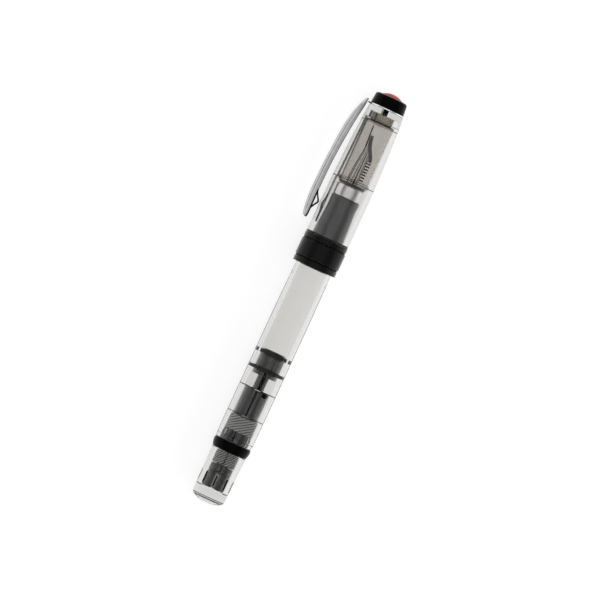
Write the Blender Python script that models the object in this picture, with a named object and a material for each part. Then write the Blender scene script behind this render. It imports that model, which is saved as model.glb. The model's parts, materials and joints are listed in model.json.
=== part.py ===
"""Capped piston-filling fountain pen with a clear barrel, cap and turning knob.

Lengths in the tables of sizes are millimetres. Every round piece is turned about the
pen's own axis: its stations run from 0 at the knob's end to 141.5 at the cap's top.
The pen lies on a table, its axis along world X with the knob toward +X, and rests on the
cap band and on the clip.
"""
import math

import bmesh
import bpy
from mathutils import Matrix, Vector

MM = 0.001
FINE = 36            # sides of the outer round pieces
PLAIN = 20           # sides of the inner ones
AIR = 0.06           # gap between pieces that touch on the real pen

# Stations along the pen
KNOB_FRONT = 17.4
RING_FRONT = 20.8
BARREL_REAR = 20.9
THREAD_END = 29.4
COLLAR_FRONT = 39.1
PISTON_REAR = 43.7
PISTON_FRONT = 52.2
FACET_END = 77.3
BARREL_FRONT = 88.5
LIP = 81.3
BAND_FRONT = 91.2
GRIP_FRONT = 105.5
LINER_MOUTH = 109.55
LINER_TOP = 133.95
NIB_TIP = 130.1
TAPER_START = 106.3
CAP_TOP = 135.95
WASHER_TOP = 136.4
FINIAL_FLOOR = 139.75
PEN_LENGTH = 141.5

# Radii
BARREL_BORE = 4.8
BARREL_OUT = 6.2
NECK = 6.04
BAND = 7.4
TUBE_IN_BAND = 6.93
CAP_OUT = 7.16
CAP_TOP_OUT = 5.86
CAP_BORE = 5.47
LINER_BODY = 4.72
LINER_BORE = 4.2
LINER_NECK = 3.75
SCREW = 0.9
ROD = 2.0

# Clip, as distances from the pen's axis
CLIP_PEAK = 11.42
CLIP_SHOULDER = 0.85   # how far the ridge stands above the clip's side edges
CLIP_HALF = 1.75       # half the clip's width
CLIP_TOP_HALF = 0.45   # half the width of its flat ridge
PIVOT_OUT = 6.45
PIVOT_STATION = 136.2

# Piston screw: the rod runs forward while the knob turns out
THREAD_PITCH = 0.75
SCREW_LEAD = 25.0 / 4.5

# How the pen is rolled about its axis, so that the clip's edge meets the table
edge = Vector((CLIP_PEAK - CLIP_SHOULDER, CLIP_HALF))
ROLL = math.atan2(edge.y, edge.x) + math.acos(BAND / edge.length)


def clear_scene():
    for old in list(bpy.data.objects):
        bpy.data.objects.remove(old, do_unlink=True)


def material(name, colour, roughness, metallic=0.0, alpha=1.0):
    made = bpy.data.materials.new(name)
    made.use_nodes = True
    shader = made.node_tree.nodes["Principled BSDF"]
    shader.inputs["Base Color"].default_value = (*colour, 1.0)
    shader.inputs["Roughness"].default_value = roughness
    shader.inputs["Metallic"].default_value = metallic
    shader.inputs["Alpha"].default_value = alpha
    return made


def pen_axis():
    """An empty at the knob's end: its Z runs to the cap, its X toward the clip."""
    axis = bpy.data.objects.new("pen_axis", None)
    bpy.context.collection.objects.link(axis)
    to_cap = Vector((-1.0, 0.0, 0.0))
    to_clip = Vector((0.0, -math.sin(ROLL), -math.cos(ROLL)))
    across = to_cap.cross(to_clip)
    turn = Matrix((to_clip, across, to_cap)).transposed().to_4x4()
    middle_of_band = (LIP + BAND_FRONT) / 2
    turn.translation = Vector((middle_of_band, 0.0, BAND)) * MM
    axis.matrix_world = turn
    return axis


def place(name, mesh, made, axis, station):
    mesh.materials.append(made)
    piece = bpy.data.objects.new(name, mesh)
    bpy.context.collection.objects.link(piece)
    piece.parent = axis
    piece.location = (0.0, 0.0, station * MM)
    return piece


def finish(shape, name, sharp=math.radians(32)):
    """Closes a bmesh into a mesh with outward faces and smooth shading."""
    bmesh.ops.remove_doubles(shape, verts=shape.verts, dist=2e-7)
    bmesh.ops.recalc_face_normals(shape, faces=shape.faces)
    mesh = bpy.data.meshes.new(name)
    shape.to_mesh(mesh)
    shape.free()
    mesh.shade_smooth()
    mesh.set_sharp_from_angle(angle=sharp)
    return mesh


def start_angle(steps):
    """The angle of a ring's first corner, so that one flat side faces the table."""
    return -ROLL - math.pi / steps


def turned(name, outline, made, axis, steps=FINE):
    """A piece turned from an outline of (station, radius) points.

    An outline whose ends both lie on the axis is solid; any other is closed as a ring.
    """
    first = outline[0][0]
    shape = bmesh.new()
    lean = Matrix.Rotation(start_angle(steps), 3, "Z")
    corners = [shape.verts.new(lean @ Vector((r, 0.0, s - first)) * MM) for s, r in outline]
    for a, b in zip(corners, corners[1:]):
        shape.edges.new((a, b))
    if outline[0][1] > 0 or outline[-1][1] > 0:
        shape.edges.new((corners[-1], corners[0]))
    bmesh.ops.spin(
        shape, geom=shape.verts[:] + shape.edges[:], cent=(0, 0, 0), axis=(0, 0, 1),
        angle=2 * math.pi, steps=steps, use_merge=True,
    )
    return place(name, finish(shape, name), made, axis, first)


def skin(shape, rings):
    """Joins rings of points, each with the same count, into one closed loft."""
    made = [[shape.verts.new(Vector(point) * MM) for point in ring] for ring in rings]
    for low, high in zip(made, made[1:]):
        for k in range(len(low)):
            after = (k + 1) % len(low)
            shape.faces.new((low[k], low[after], high[after], high[k]))
    shape.faces.new(made[0][::-1])
    shape.faces.new(made[-1])


def lofted(name, rings, made, axis, station=0.0, sharp=math.radians(32)):
    shape = bmesh.new()
    skin(shape, [[(x, y, z - station) for x, y, z in ring] for ring in rings])
    return place(name, finish(shape, name, sharp), made, axis, station)


def cutter(name, boxes, axis):
    """A wire-drawn guide of boxes (x, y, z ranges), each repeated by its own turn."""
    shape = bmesh.new()
    for (x0, x1), (y0, y1), (z0, z1), angle in boxes:
        box = bmesh.ops.create_cube(shape, size=1.0)["verts"]
        size = Matrix.Diagonal((x1 - x0, y1 - y0, z1 - z0, 1.0))
        centre = Matrix.Translation(((x0 + x1) / 2, (y0 + y1) / 2, (z0 + z1) / 2))
        bmesh.ops.transform(shape, matrix=centre @ size, verts=box)
        bmesh.ops.rotate(shape, cent=(0, 0, 0), matrix=Matrix.Rotation(angle, 3, "Z"), verts=box)
    bmesh.ops.scale(shape, vec=(MM, MM, MM), verts=shape.verts)
    mesh = bpy.data.meshes.new(name)
    shape.to_mesh(mesh)
    shape.free()
    guide = bpy.data.objects.new(name, mesh)
    bpy.context.collection.objects.link(guide)
    guide.parent = axis
    guide.hide_render = True
    guide.display_type = "WIRE"
    return guide


def combine(piece, guide, operation):
    step = piece.modifiers.new(guide.name, "BOOLEAN")
    step.operation = operation
    step.object = guide


def arc(centre, radius, start, stop, count):
    """Points on an arc in the (station, radius) plane, angles in degrees."""
    points = []
    for k in range(count + 1):
        angle = math.radians(start + (stop - start) * k / count)
        points.append((centre[0] + radius * math.cos(angle), centre[1] + radius * math.sin(angle)))
    return points


def ridges(start, stop, root, crest, pitch):
    """The outline of a thread's ridges, from start to stop."""
    count = int((stop - start) / pitch)
    points = []
    for k in range(count):
        foot = start + k * pitch
        points += [(foot, root), (foot + 0.5 * pitch, crest)]
    return points


def smooth(points, x):
    """A smooth curve through (x, y) points: a cubic with slopes taken from neighbours."""
    for k in range(len(points) - 1):
        if x <= points[k + 1][0] or k == len(points) - 2:
            break
    (x1, y1), (x2, y2) = points[k], points[k + 1]
    x0, y0 = points[max(k - 1, 0)]
    x3, y3 = points[min(k + 2, len(points) - 1)]
    width = x2 - x1
    slope1 = (y2 - y0) / (x2 - x0) * width
    slope2 = (y3 - y1) / (x3 - x1) * width
    t = (x - x1) / width
    near = (2 * t**3 - 3 * t**2 + 1) * y1 + (t**3 - 2 * t**2 + t) * slope1
    far = (3 * t**2 - 2 * t**3) * y2 + (t**3 - t**2) * slope2
    return near + far


def spread(start, stop, count):
    return [start + (stop - start) * k / count for k in range(count + 1)]


# --- Rear: knob, spindle, collar and end ring -------------------------------------------

SKIRT_OUT = 3.7
SKIRT_BORE = 2.35
SKIRT_REAR = 4.9
SKIRT_FRONT = 12.8
KNOB_CAVITY = 3.86
SLOTS = 7
SLOT_TURN = math.radians(87.6)     # where the first slot lies, counted from the clip


def slot_turns():
    return [SLOT_TURN + k * math.tau / SLOTS for k in range(SLOTS)]


def knob(axis, clear):
    """Clear turning knob: a shallow dome, a deep socket and ribs that drive the spindle."""
    dome = [(0.0, 0.0), (0.18, 1.9), (0.65, 3.6), (1.35, 4.8), (1.9, 5.3), (2.5, 5.47)]
    outline = dome + [(12.0, 5.6), (17.1, 5.76), (KNOB_FRONT, 5.6), (KNOB_FRONT, 3.95)]
    outline += [(4.9 - 2 * AIR, KNOB_CAVITY), (4.5, 3.5), (4.3, 0.0)]
    piece = turned("knob", outline, clear, axis, PLAIN)
    ribs = [((3.0, 4.2), (-0.22, 0.22), (5.7, 9.4), turn) for turn in slot_turns()]
    combine(piece, cutter("knob_ribs", ribs, axis), "UNION")
    return piece


def spindle(axis, made):
    """Slotted skirt that the knob turns, with the screw that drives the piston rod."""
    outline = [(SKIRT_REAR, 0.0), (SKIRT_REAR, 3.5), (5.2, SKIRT_OUT), (10.3, SKIRT_OUT),
               (10.4, 3.62), (10.55, SKIRT_OUT), (SKIRT_FRONT, SKIRT_OUT),
               (SKIRT_FRONT, SKIRT_BORE), (6.2, SKIRT_BORE), (6.2, 0.0)]
    piece = turned("spindle", outline, made, axis, PLAIN)
    slots = [((2.8, 4.4), (-0.34, 0.34), (4.0, 9.9), turn) for turn in slot_turns()]
    combine(piece, cutter("spindle_slots", slots, axis), "DIFFERENCE")
    rings = []
    for z in spread(5.6, 39.0, 20):
        twist = math.tau * z / SCREW_LEAD
        ring = []
        for k in range(9):
            angle = math.tau * k / 9
            reach = 1.1 + 0.18 * math.cos(3 * angle)
            ring.append((reach * math.cos(angle + twist), reach * math.sin(angle + twist), z))
        rings.append(ring)
    screw = lofted("spindle_screw", rings, made, axis)
    screw.hide_render = True
    screw.display_type = "WIRE"
    combine(piece, screw, "UNION")
    return piece


def knob_o_ring(axis, made):
    """Rubber ring that the knob closes against."""
    return turned("knob_o_ring", arc((17.75, 4.75), 0.24, 0, 300, 5), made, axis, PLAIN)


def end_ring(axis, made):
    """Black barrel-shaped ring between the knob and the barrel."""
    outline = [(18.1, 4.45), (18.1, 5.2), (17.55, 5.25), (17.5, 5.62), (17.8, 5.85), (18.6, 6.1),
               (19.8, 6.23), (20.4, 6.15), (RING_FRONT, 5.98), (RING_FRONT, 4.45)]
    return turned("end_ring", outline, made, axis, PLAIN)


def guide_collar(axis, made):
    """Collar screwed into the barrel: knob thread, barrel thread and the rod's guide tube."""
    neck = ridges(12.95, 17.2, 3.5, 3.76, THREAD_PITCH)
    flange = ridges(24.5, THREAD_END - 0.1, 4.5, 4.72, THREAD_PITCH)
    outline = [(12.95, 3.3)] + neck + [(17.5, 3.5), (17.5, 4.35), (20.95, 4.35), (20.95, 4.72)]
    outline += [(24.3, 4.72)]
    outline += flange + [(THREAD_END, 4.5), (THREAD_END, 3.8), (COLLAR_FRONT - 0.3, 3.8)]
    outline += [(COLLAR_FRONT, 3.5), (COLLAR_FRONT, 2.12), (34.0, 2.12), (34.0, 2.4), (12.95, 2.4)]
    piece = turned("guide_collar", outline, made, axis, PLAIN)
    keys = [((-1.2, 1.2), (1.8, 2.6), (34.5, 38.8), k * math.pi) for k in range(2)]
    combine(piece, cutter("collar_keys", keys, axis), "UNION")
    notch = [((-5.0, -2.9), (1.9, 3.9), (COLLAR_FRONT - 1.3, COLLAR_FRONT + 1.0), 0.0)]
    combine(piece, cutter("collar_notch", notch, axis), "DIFFERENCE")
    return piece


# --- Piston ------------------------------------------------------------------------------

def piston_rod(axis, made):
    """Hollow rod with two flats, which keep it from turning in the collar."""
    outline = [(10.2, 1.42), (10.2, ROD), (PISTON_REAR + 3.4, ROD), (PISTON_REAR + 3.4, 1.42)]
    piece = turned("piston_rod", outline, made, axis, PLAIN)
    flats = [((-3.0, 3.0), (1.72, 3.0), (9.0, PISTON_REAR - 1.5), k * math.pi) for k in range(2)]
    combine(piece, cutter("rod_flats", flats, axis), "DIFFERENCE")
    return piece


def piston_head(axis, made):
    """Spool that carries the two seals on the rod's front end."""
    seat = ROD + AIR
    outline = [(PISTON_REAR, seat), (PISTON_REAR, 3.5), (43.9, 3.7), (45.0, 3.7), (45.0, 3.0),
               (46.3, 3.0), (46.3, 3.78), (50.4, 3.78), (50.4, 3.0), (51.8, 3.0), (51.8, 3.7),
               (PISTON_FRONT, 3.3), (PISTON_FRONT + 0.1, 0.0), (47.2, 0.0), (47.2, seat)]
    return turned("piston_head", outline, made, axis, PLAIN)


def piston_seal(name, start, stop, made, axis):
    """Soft ring with a lip at each end that wipes the barrel's wall."""
    lip = BARREL_BORE - AIR
    outline = [(start, 3.0 + AIR), (start, lip), (start + 0.3, lip), (start + 0.45, lip - 0.2),
               (stop - 0.45, lip - 0.2), (stop - 0.3, lip), (stop, lip), (stop, 3.0 + AIR)]
    return turned(name, outline, made, axis, PLAIN)


# --- Barrel, grip and nib ----------------------------------------------------------------

FACETS = 12
FACET_DEPTH = 0.16
FACET_REAR = 22.3
TAPER_REAR = 55.0    # where the barrel starts to narrow toward the cap
CAP_THREAD = 5.72    # root radius of the thread that the cap screws on
CAP_PITCH = 1.25


def around(z, r, facet=0.0):
    """A ring of the barrel's points at one station, its facets cut by the given depth."""
    ring = []
    for k in range(FINE):
        turn = math.tau * k / FINE
        off = turn % (math.tau / FACETS) - math.pi / FACETS
        reach = min(r, (r - facet) / math.cos(off))
        angle = start_angle(FINE) + turn
        ring.append((reach * math.cos(angle), reach * math.sin(angle), z - BARREL_REAR))
    return ring


def barrel(axis, clear):
    """Clear tube with long shallow facets, which run out to points at both ends."""
    def outer(z):
        swell = BARREL_OUT - 0.1 * max(0.0, 1 - (z - BARREL_REAR) / 4) ** 2
        return swell - 0.14 * max(0.0, (z - TAPER_REAR) / (FACET_END - TAPER_REAR)) ** 2

    def facet(z):
        along = (z - FACET_REAR) / (FACET_END - FACET_REAR)
        return FACET_DEPTH * math.sin(math.pi * min(max(along, 0.0), 1.0)) ** 0.5

    rings = [around(BARREL_REAR, outer(BARREL_REAR))]
    for z in [FACET_REAR] + spread(24.0, FACET_END - 1.5, 6) + [FACET_END]:
        rings.append(around(z, outer(z), facet(z)))
    neck = [(FACET_END + 0.1, NECK), (81.9, NECK), (82.1, CAP_THREAD)]
    neck += ridges(82.2, 87.4, CAP_THREAD, CAP_THREAD + 0.23, CAP_PITCH)
    neck += [(87.8, CAP_THREAD), (BARREL_FRONT, CAP_THREAD - 0.12)]
    bore = [(BARREL_FRONT, BARREL_BORE), (BARREL_REAR, BARREL_BORE)]
    rings += [around(z, r) for z, r in neck + bore]
    shape = bmesh.new()
    made = [[shape.verts.new(Vector(point) * MM) for point in ring] for ring in rings]
    for low, high in zip(made, made[1:] + made[:1]):
        for k in range(FINE):
            after = (k + 1) % FINE
            shape.faces.new((low[k], low[after], high[after], high[k]))
    return place("barrel", finish(shape, "barrel"), clear, axis, BARREL_REAR)


def section(axis, made):
    """Grip: a waisted sleeve with a threaded tenon inside the barrel."""
    outline = [(80.6, 3.6), (80.6, 4.45), (81.0, 4.45), (81.0, 4.2), (81.7, 4.2), (81.7, 4.45)]
    outline += [(81.9, 4.68), (87.0, 4.68), (87.2, 4.45), (BARREL_FRONT + AIR, 4.45)]
    outline += [(BARREL_FRONT + AIR, 5.55), (90.2, 5.45), (91.5, 5.22)]
    waist = [(91.5, 5.22), (97.5, 4.9), (101.8, 4.65), (104.9, 4.74)]
    outline += [(s, smooth(waist, s)) for s in spread(93.2, 104.9, 7)]
    outline += [(GRIP_FRONT - 0.1, 4.6), (GRIP_FRONT, 4.4), (GRIP_FRONT, 3.3), (92.0, 3.3)]
    outline += [(92.0, 3.6)]
    return turned("section", outline, made, axis)


def section_o_ring(axis, made):
    """Seal between the grip's tenon and the barrel."""
    return turned("section_o_ring", arc((81.35, 4.49), 0.22, 0, 300, 5), made, axis, PLAIN)


def section_trim_ring(axis, made):
    """Bright collar at the grip's front."""
    outline = [(GRIP_FRONT + AIR, 3.5), (GRIP_FRONT + AIR, 4.62), (105.8, 4.72), (109.1, 4.72),
               (109.4, 4.5), (109.4, 3.5)]
    return turned("section_trim_ring", outline, made, axis, PLAIN)


def nib_housing(axis, made):
    """Tube that holds the nib and feed together inside the grip."""
    outline = [(82.5, 2.75), (82.5, 3.5), (91.9, 3.5), (91.9, 3.22), (108.0, 3.22), (108.0, 2.75)]
    return turned("nib_housing", outline, made, axis, PLAIN)


# The nib's outline from the side: its top, its lower edge and the radius of its bow
NIB_TOP = [(98.0, 2.6), (108.0, 2.4), (112.3, 2.2), (118.0, 1.73), (122.0, 1.26), (124.3, 1.42),
           (127.4, 1.64), (NIB_TIP, 1.76)]
NIB_EDGE = [(98.0, -1.0), (112.3, -1.26), (119.6, -1.26), (120.6, -0.8), (121.4, -0.3), (122.1, 0.15),
            (123.3, 0.6), (124.6, 0.95), (126.8, 1.3), (NIB_TIP, 1.42)]
NIB_BOW = [(98.0, 2.6), (108.0, 2.42), (112.3, 2.28), (118.0, 1.9), (122.0, 1.4), (126.0, 0.95),
           (NIB_TIP, 0.4)]
NIB_THICK = 0.3
FIN_REAR = 112.3
FIN_STEP = 0.94
FINS = 7
FEED_BOTTOM = [(118.9, -2.6), (119.5, -2.5), (120.5, -2.2), (122.1, -1.4), (123.2, -0.8),
               (124.6, -0.3), (126.8, 0.2)]


def bow_arc(z, inset, low, count):
    """An arc about the nib's bow axis, from one side over the top to the other."""
    bow = smooth(NIB_BOW, z)
    middle = smooth(NIB_TOP, z) - bow
    radius = bow - inset
    reach = math.acos(max(-0.96, min(0.98, (low - middle) / radius)))
    points = []
    for k in range(count):
        angle = (2.0 * k / (count - 1) - 1.0) * reach
        points.append((middle + radius * math.cos(angle), radius * math.sin(angle), z))
    return points


def nib(axis, made):
    """Bowed steel nib over the feed, narrowing to its point."""
    rings = []
    for z in [98.0, 105.0] + spread(110.0, 128.6, 12) + [129.4, NIB_TIP]:
        low = smooth(NIB_EDGE, z)
        rings.append(bow_arc(z, 0.0, low, 9) + bow_arc(z, NIB_THICK, low, 9)[::-1])
    return lofted("nib", rings, made, axis, 98.0)


def feed(axis, made):
    """Feed under the nib, with a comb of fins and a sloping nose."""
    stations = [(96.0, -2.2), (FIN_REAR - 4.2, -2.2), (FIN_REAR - 4.0, -2.6), (FIN_REAR - 0.7, -2.6)]
    for k in range(FINS):
        foot = FIN_REAR + k * FIN_STEP
        stations += [(foot - 0.48, -1.3), (foot - 0.02, -1.3), (foot, -2.66), (foot + 0.44, -2.66)]
    stations += [(118.42, -1.3), (118.68, -1.3), (118.7, -2.62)]
    stations += [(z, smooth(FEED_BOTTOM, z)) for z in spread(118.9, 126.8, 8)]
    rings = []
    for z, bottom in stations:
        held = max(z, 98.0)
        low = max(smooth(NIB_EDGE, held) - 0.02, bottom + 0.25)
        ring = [(x, y, z) for x, y, _ in bow_arc(held, NIB_THICK + 0.1, low, 7)]
        width = abs(ring[0][1])
        ring += [(bottom, 0.5 * width, z), (bottom, -0.5 * width, z)]
        rings.append(ring)
    return lofted("feed", rings, made, axis, 96.0, math.radians(25))


# --- Cap ----------------------------------------------------------------------------------

SCREW_END = 132.9

def cap_radius(s):
    along = max(0.0, (s - TAPER_START) / (CAP_TOP - TAPER_START))
    return CAP_OUT - (CAP_OUT - CAP_TOP_OUT) * along**1.65


def cap_tube(axis, clear):
    """Clear cap, with an inside thread at its lip and a thick top for the screw."""
    outline = [(LIP + AIR, 6.12), (LIP + AIR, TUBE_IN_BAND), (BAND_FRONT + AIR, TUBE_IN_BAND)]
    outline += [(BAND_FRONT + AIR, CAP_OUT)]
    outline += [(s, cap_radius(s)) for s in spread(TAPER_START, CAP_TOP - 0.2, 8)]
    outline += [(CAP_TOP, CAP_TOP_OUT - 0.15), (CAP_TOP, SCREW + 0.12), (LINER_TOP + 0.1, SCREW + 0.12)]
    outline += [(LINER_TOP + 0.1, LINER_NECK + 0.1), (131.95, LINER_NECK + 0.1)]
    outline += [(130.95, LINER_BODY + 0.08), (128.6, LINER_BODY + 0.08), (112.0, 5.2)]
    outline += [(111.8, CAP_BORE), (91.8, CAP_BORE), (91.2, 6.0), (88.2, 6.22)]
    outline += [(87.9, 6.12)]
    return turned("cap_tube", outline, clear, axis)


def band_ring(name, start, stop, reach, made, axis):
    """One ring of the cap's lip band; its flat sides touch the given radius."""
    corner = reach / math.cos(math.pi / FINE)
    bevel = 0.14
    inside = TUBE_IN_BAND + AIR
    outline = [(start, inside), (start, corner - bevel), (start + bevel, corner),
               (stop - bevel, corner), (stop, corner - bevel), (stop, inside)]
    return turned(name, outline, made, axis)


def inner_cap(axis, made):
    """Smoky liner that closes round the nib; its ceiling dips to a shallow cone."""
    outline = [(130.15, 0.0), (130.85, 1.8), (130.85, 3.3), (130.2, 3.95), (129.4, LINER_BORE),
               (LINER_MOUTH, LINER_BORE), (LINER_MOUTH, 4.3), (110.3, 4.7), (110.4, CAP_BORE - AIR),
               (111.7, CAP_BORE - AIR), (111.75, LINER_BODY), (130.8, LINER_BODY), (131.8, LINER_NECK),
               (LINER_TOP, LINER_NECK), (LINER_TOP, SCREW + 0.12), (SCREW_END - AIR, SCREW + 0.12),
               (SCREW_END - AIR, 0.0)]
    return turned("inner_cap", outline, made, axis, PLAIN)


def finial_screw(axis, made):
    """Screw from the liner's neck through the cap's top into the finial."""
    outline = [(SCREW_END, 0.0), (SCREW_END, SCREW), (138.9, SCREW), (139.2, 0.5), (139.2, 0.0)]
    return turned("finial_screw", outline, made, axis, PLAIN)


def clip_washer(axis, made):
    """Flat washer under the finial, with the lug that the clip hangs from."""
    low, high = CAP_TOP + AIR, WASHER_TOP
    outline = [(low, SCREW + 0.15), (low, 5.75), (high, 5.75), (high, SCREW + 0.15)]
    piece = turned("clip_washer", outline, made, axis)
    lug = [((4.9, PIVOT_OUT - 0.2), (-1.7, 1.7), (low, high), 0.0)]
    combine(piece, cutter("washer_lug", lug, axis), "UNION")
    return piece


def clip(axis, made):
    """Ridged spring clip, bent down to the cap near its free end."""
    ridge = [(95.0, 9.75), (95.6, 10.35), (97.0, 10.75), (99.4, 11.14), (103.0, 11.38),
             (107.0, CLIP_PEAK), (113.0, 11.28), (119.5, 10.95), (126.0, 10.45), (130.9, 9.66),
             (133.4, 8.97), (135.6, 8.2), (137.1, 7.4)]
    under = [(95.0, 9.3), (95.6, 8.8), (97.0, 8.5), (99.4, 7.62), (100.9, CAP_OUT + AIR), (102.0, 7.3),
             (103.4, 8.1), (105.0, 8.95), (113.0, 8.82), (119.5, 8.46), (126.0, 7.9),
             (130.9, 7.33), (133.4, 6.95), (135.6, 6.66), (137.1, 6.55)]
    stations = [95.0, 95.3, 95.7, 96.3, 97.2, 98.3, 99.4, 100.2, 100.9, 101.5, 102.1, 102.8, 103.5]
    stations += [104.3, 105.2]
    stations += spread(107.0, 133.0, 13) + [134.2, 135.3, 136.2, 137.1]
    rings = []
    for z in stations:
        top, low = smooth(ridge, z), smooth(under, z)
        half = CLIP_HALF * (0.78 + 0.22 * min(1.0, (z - 95.0) / 14.0))
        half *= min(1.0, 0.72 + 0.28 * math.sqrt((z - 95.0) / 1.5))
        brow = max(low + 0.15, top - CLIP_SHOULDER)
        crown = min(CLIP_TOP_HALF, half)
        rings.append([(low, half, z), (brow, half, z), (top, crown, z), (top, -crown, z),
                      (brow, -half, z), (low, -half, z)])
    rings = [[(x - PIVOT_OUT, y, z) for x, y, z in ring] for ring in rings]
    piece = lofted("clip", rings, made, axis, PIVOT_STATION, math.radians(25))
    piece.location.x = PIVOT_OUT * MM
    return piece


def finial(axis, made):
    """Black end of the cap, recessed for its round inlay."""
    outline = [(WASHER_TOP + AIR, SCREW + 0.12), (WASHER_TOP + AIR, 5.66), (139.6, 5.36)]
    outline += [(139.6 + 0.6 * math.sin(a), 4.76 + 0.6 * math.cos(a))
                for a in spread(0.35, math.pi / 2, 4)]
    outline += [(140.35, 3.25), (FINIAL_FLOOR, 3.25), (FINIAL_FLOOR, SCREW + 0.12)]
    return turned("finial", outline, made, axis, PLAIN)


def finial_inlay(axis, made):
    """Plain domed inlay in the finial's top."""
    rise, base = 1.05, 3.15
    ball = (base**2 + rise**2) / (2 * rise)
    floor = FINIAL_FLOOR + AIR
    outline = [(floor, 0.0), (floor, base)]
    widest = math.asin(base / ball)
    for angle in spread(widest, 0.0, 6):
        outline.append((PEN_LENGTH - ball + ball * math.cos(angle), ball * math.sin(angle)))
    outline[-1] = (PEN_LENGTH, 0.0)
    return turned("finial_inlay", outline, made, axis, PLAIN)


# --- The whole pen -------------------------------------------------------------------------

clear_scene()
pen = pen_axis()

clear_plastic = material("clear_plastic", (0.93, 0.95, 0.95), 0.05, alpha=0.3)
black_gloss = material("black_gloss", (0.012, 0.012, 0.013), 0.18)
smoke_plastic = material("smoke_plastic", (0.09, 0.09, 0.095), 0.25)
smoke_clear = material("smoke_clear", (0.42, 0.40, 0.38), 0.15, alpha=0.7)
grip_plastic = material("grip_plastic", (0.06, 0.06, 0.062), 0.25)
black_rubber = material("black_rubber", (0.015, 0.015, 0.015), 0.6)
chrome = material("chrome", (0.82, 0.82, 0.83), 0.1, metallic=1.0)
nib_steel = material("nib_steel", (0.74, 0.74, 0.73), 0.2, metallic=1.0)
red_enamel = material("red_enamel", (0.55, 0.015, 0.02), 0.2)

knob(pen, clear_plastic)
spindle(pen, smoke_plastic)
knob_o_ring(pen, black_rubber)
end_ring(pen, black_gloss)
guide_collar(pen, smoke_plastic)
piston_rod(pen, smoke_plastic)
piston_head(pen, smoke_plastic)
piston_seal("rear_seal", 45.08, 46.22, black_rubber, pen)
piston_seal("front_seal", 50.48, 51.72, black_rubber, pen)
barrel(pen, clear_plastic)
section(pen, grip_plastic)
section_o_ring(pen, black_rubber)
section_trim_ring(pen, chrome)
nib_housing(pen, smoke_plastic)
nib(pen, nib_steel)
feed(pen, black_gloss)
cap_tube(pen, clear_plastic)
band_ring("band_lower_ring", LIP, 83.2, 7.25, black_gloss, pen)
band_ring("cap_band", 83.35, 89.25, BAND, black_gloss, pen)
band_ring("band_upper_ring", 89.4, BAND_FRONT, 7.25, black_gloss, pen)
inner_cap(pen, smoke_clear)
finial_screw(pen, black_gloss)
clip_washer(pen, chrome)
clip(pen, chrome)
finial(pen, black_gloss)
finial_inlay(pen, red_enamel)
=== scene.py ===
"""Looks of the clear piston-filling fountain pen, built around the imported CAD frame.

Every piece is built in the pen's own coordinates, in millimetres: Z is the station along the
pen, 0 at the knob's end and rising to the cap's top, X points to the clip and Y to the side
that the main view shows. The frame gives that coordinate system and the driving sizes.
"""
import json
import math

import bmesh
import bpy
from mathutils import Matrix, Vector


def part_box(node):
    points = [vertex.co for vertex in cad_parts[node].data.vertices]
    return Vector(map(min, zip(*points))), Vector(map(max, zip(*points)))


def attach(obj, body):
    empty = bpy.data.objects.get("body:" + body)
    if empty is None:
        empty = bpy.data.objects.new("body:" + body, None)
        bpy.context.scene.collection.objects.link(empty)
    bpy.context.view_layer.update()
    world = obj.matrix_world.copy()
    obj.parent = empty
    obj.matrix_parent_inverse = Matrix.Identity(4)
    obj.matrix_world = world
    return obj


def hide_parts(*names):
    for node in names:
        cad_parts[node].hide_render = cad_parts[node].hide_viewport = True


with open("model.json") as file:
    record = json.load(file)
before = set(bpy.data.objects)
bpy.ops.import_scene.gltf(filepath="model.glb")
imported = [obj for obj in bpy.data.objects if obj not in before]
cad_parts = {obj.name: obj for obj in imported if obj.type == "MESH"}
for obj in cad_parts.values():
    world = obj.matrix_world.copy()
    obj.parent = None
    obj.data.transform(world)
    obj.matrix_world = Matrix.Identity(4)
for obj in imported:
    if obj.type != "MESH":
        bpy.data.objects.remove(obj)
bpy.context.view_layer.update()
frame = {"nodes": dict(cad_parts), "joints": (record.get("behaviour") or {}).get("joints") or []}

MM = 0.001
TAU = math.tau

# --- The pen's own axes, from the joints and boxes of the frame ---

joints = {joint["name"]: joint for joint in frame["joints"]}
to_cap = Vector(joints["cap_pull"]["axis"]).normalized()
to_viewer = -Vector(joints["clip_flex"]["axis"]).normalized()
to_clip = to_viewer.cross(to_cap)
axis_height = joints["cap_turn"]["pos_m"][2]
knob_end = Vector((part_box("knob")[1].x, 0.0, axis_height))
pen = Matrix((to_clip, to_viewer, to_cap)).transposed().to_4x4()
pen.translation = knob_end
to_pen = pen.inverted()


def stations(node):
    """Where a CAD node starts and ends along the pen, in mm."""
    low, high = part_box(node)
    return (knob_end.x - high.x) / MM, (knob_end.x - low.x) / MM


def radius(node):
    """The largest radius of a round CAD node, in mm."""
    low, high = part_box(node)
    return max(high.y - low.y, high.z - low.z) / 2 / MM


LENGTH = stations("finial_inlay")[1]
COLLAR_REAR, COLLAR_FRONT = stations("guide_collar")
LIP = stations("band_lower_ring")[0]
BAND_TOP = stations("band_upper_ring")[1]
CAP_TOP = stations("cap_tube")[1]
LINER_MOUTH, LINER_TOP = stations("inner_cap")
BORE = 4.8  # radius of the barrel's bore
ROUND = 144  # sides of a visible round piece


# --- Making meshes ---

ON_AXIS = 1e-6  # a smaller radius lies on the pen's axis
STRAIGHT = 0.05  # a corner that turns by less, in radians, stays as it is
EDGE_SHARE = 0.42  # the most that one fillet uses of an edge
HOLD = 0.15  # extra points beside a fillet, as a share of its reach
SAME = 1e-3  # radii that differ by less belong to the same surface


def spread(start, stop, count):
    """Evenly spaced values, both ends included."""
    return [start + (stop - start) * k / count for k in range(count + 1)]


def polar(r, angle, z):
    """A point at a radius and an angle about the pen's axis."""
    return r * math.cos(angle), r * math.sin(angle), z


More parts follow.
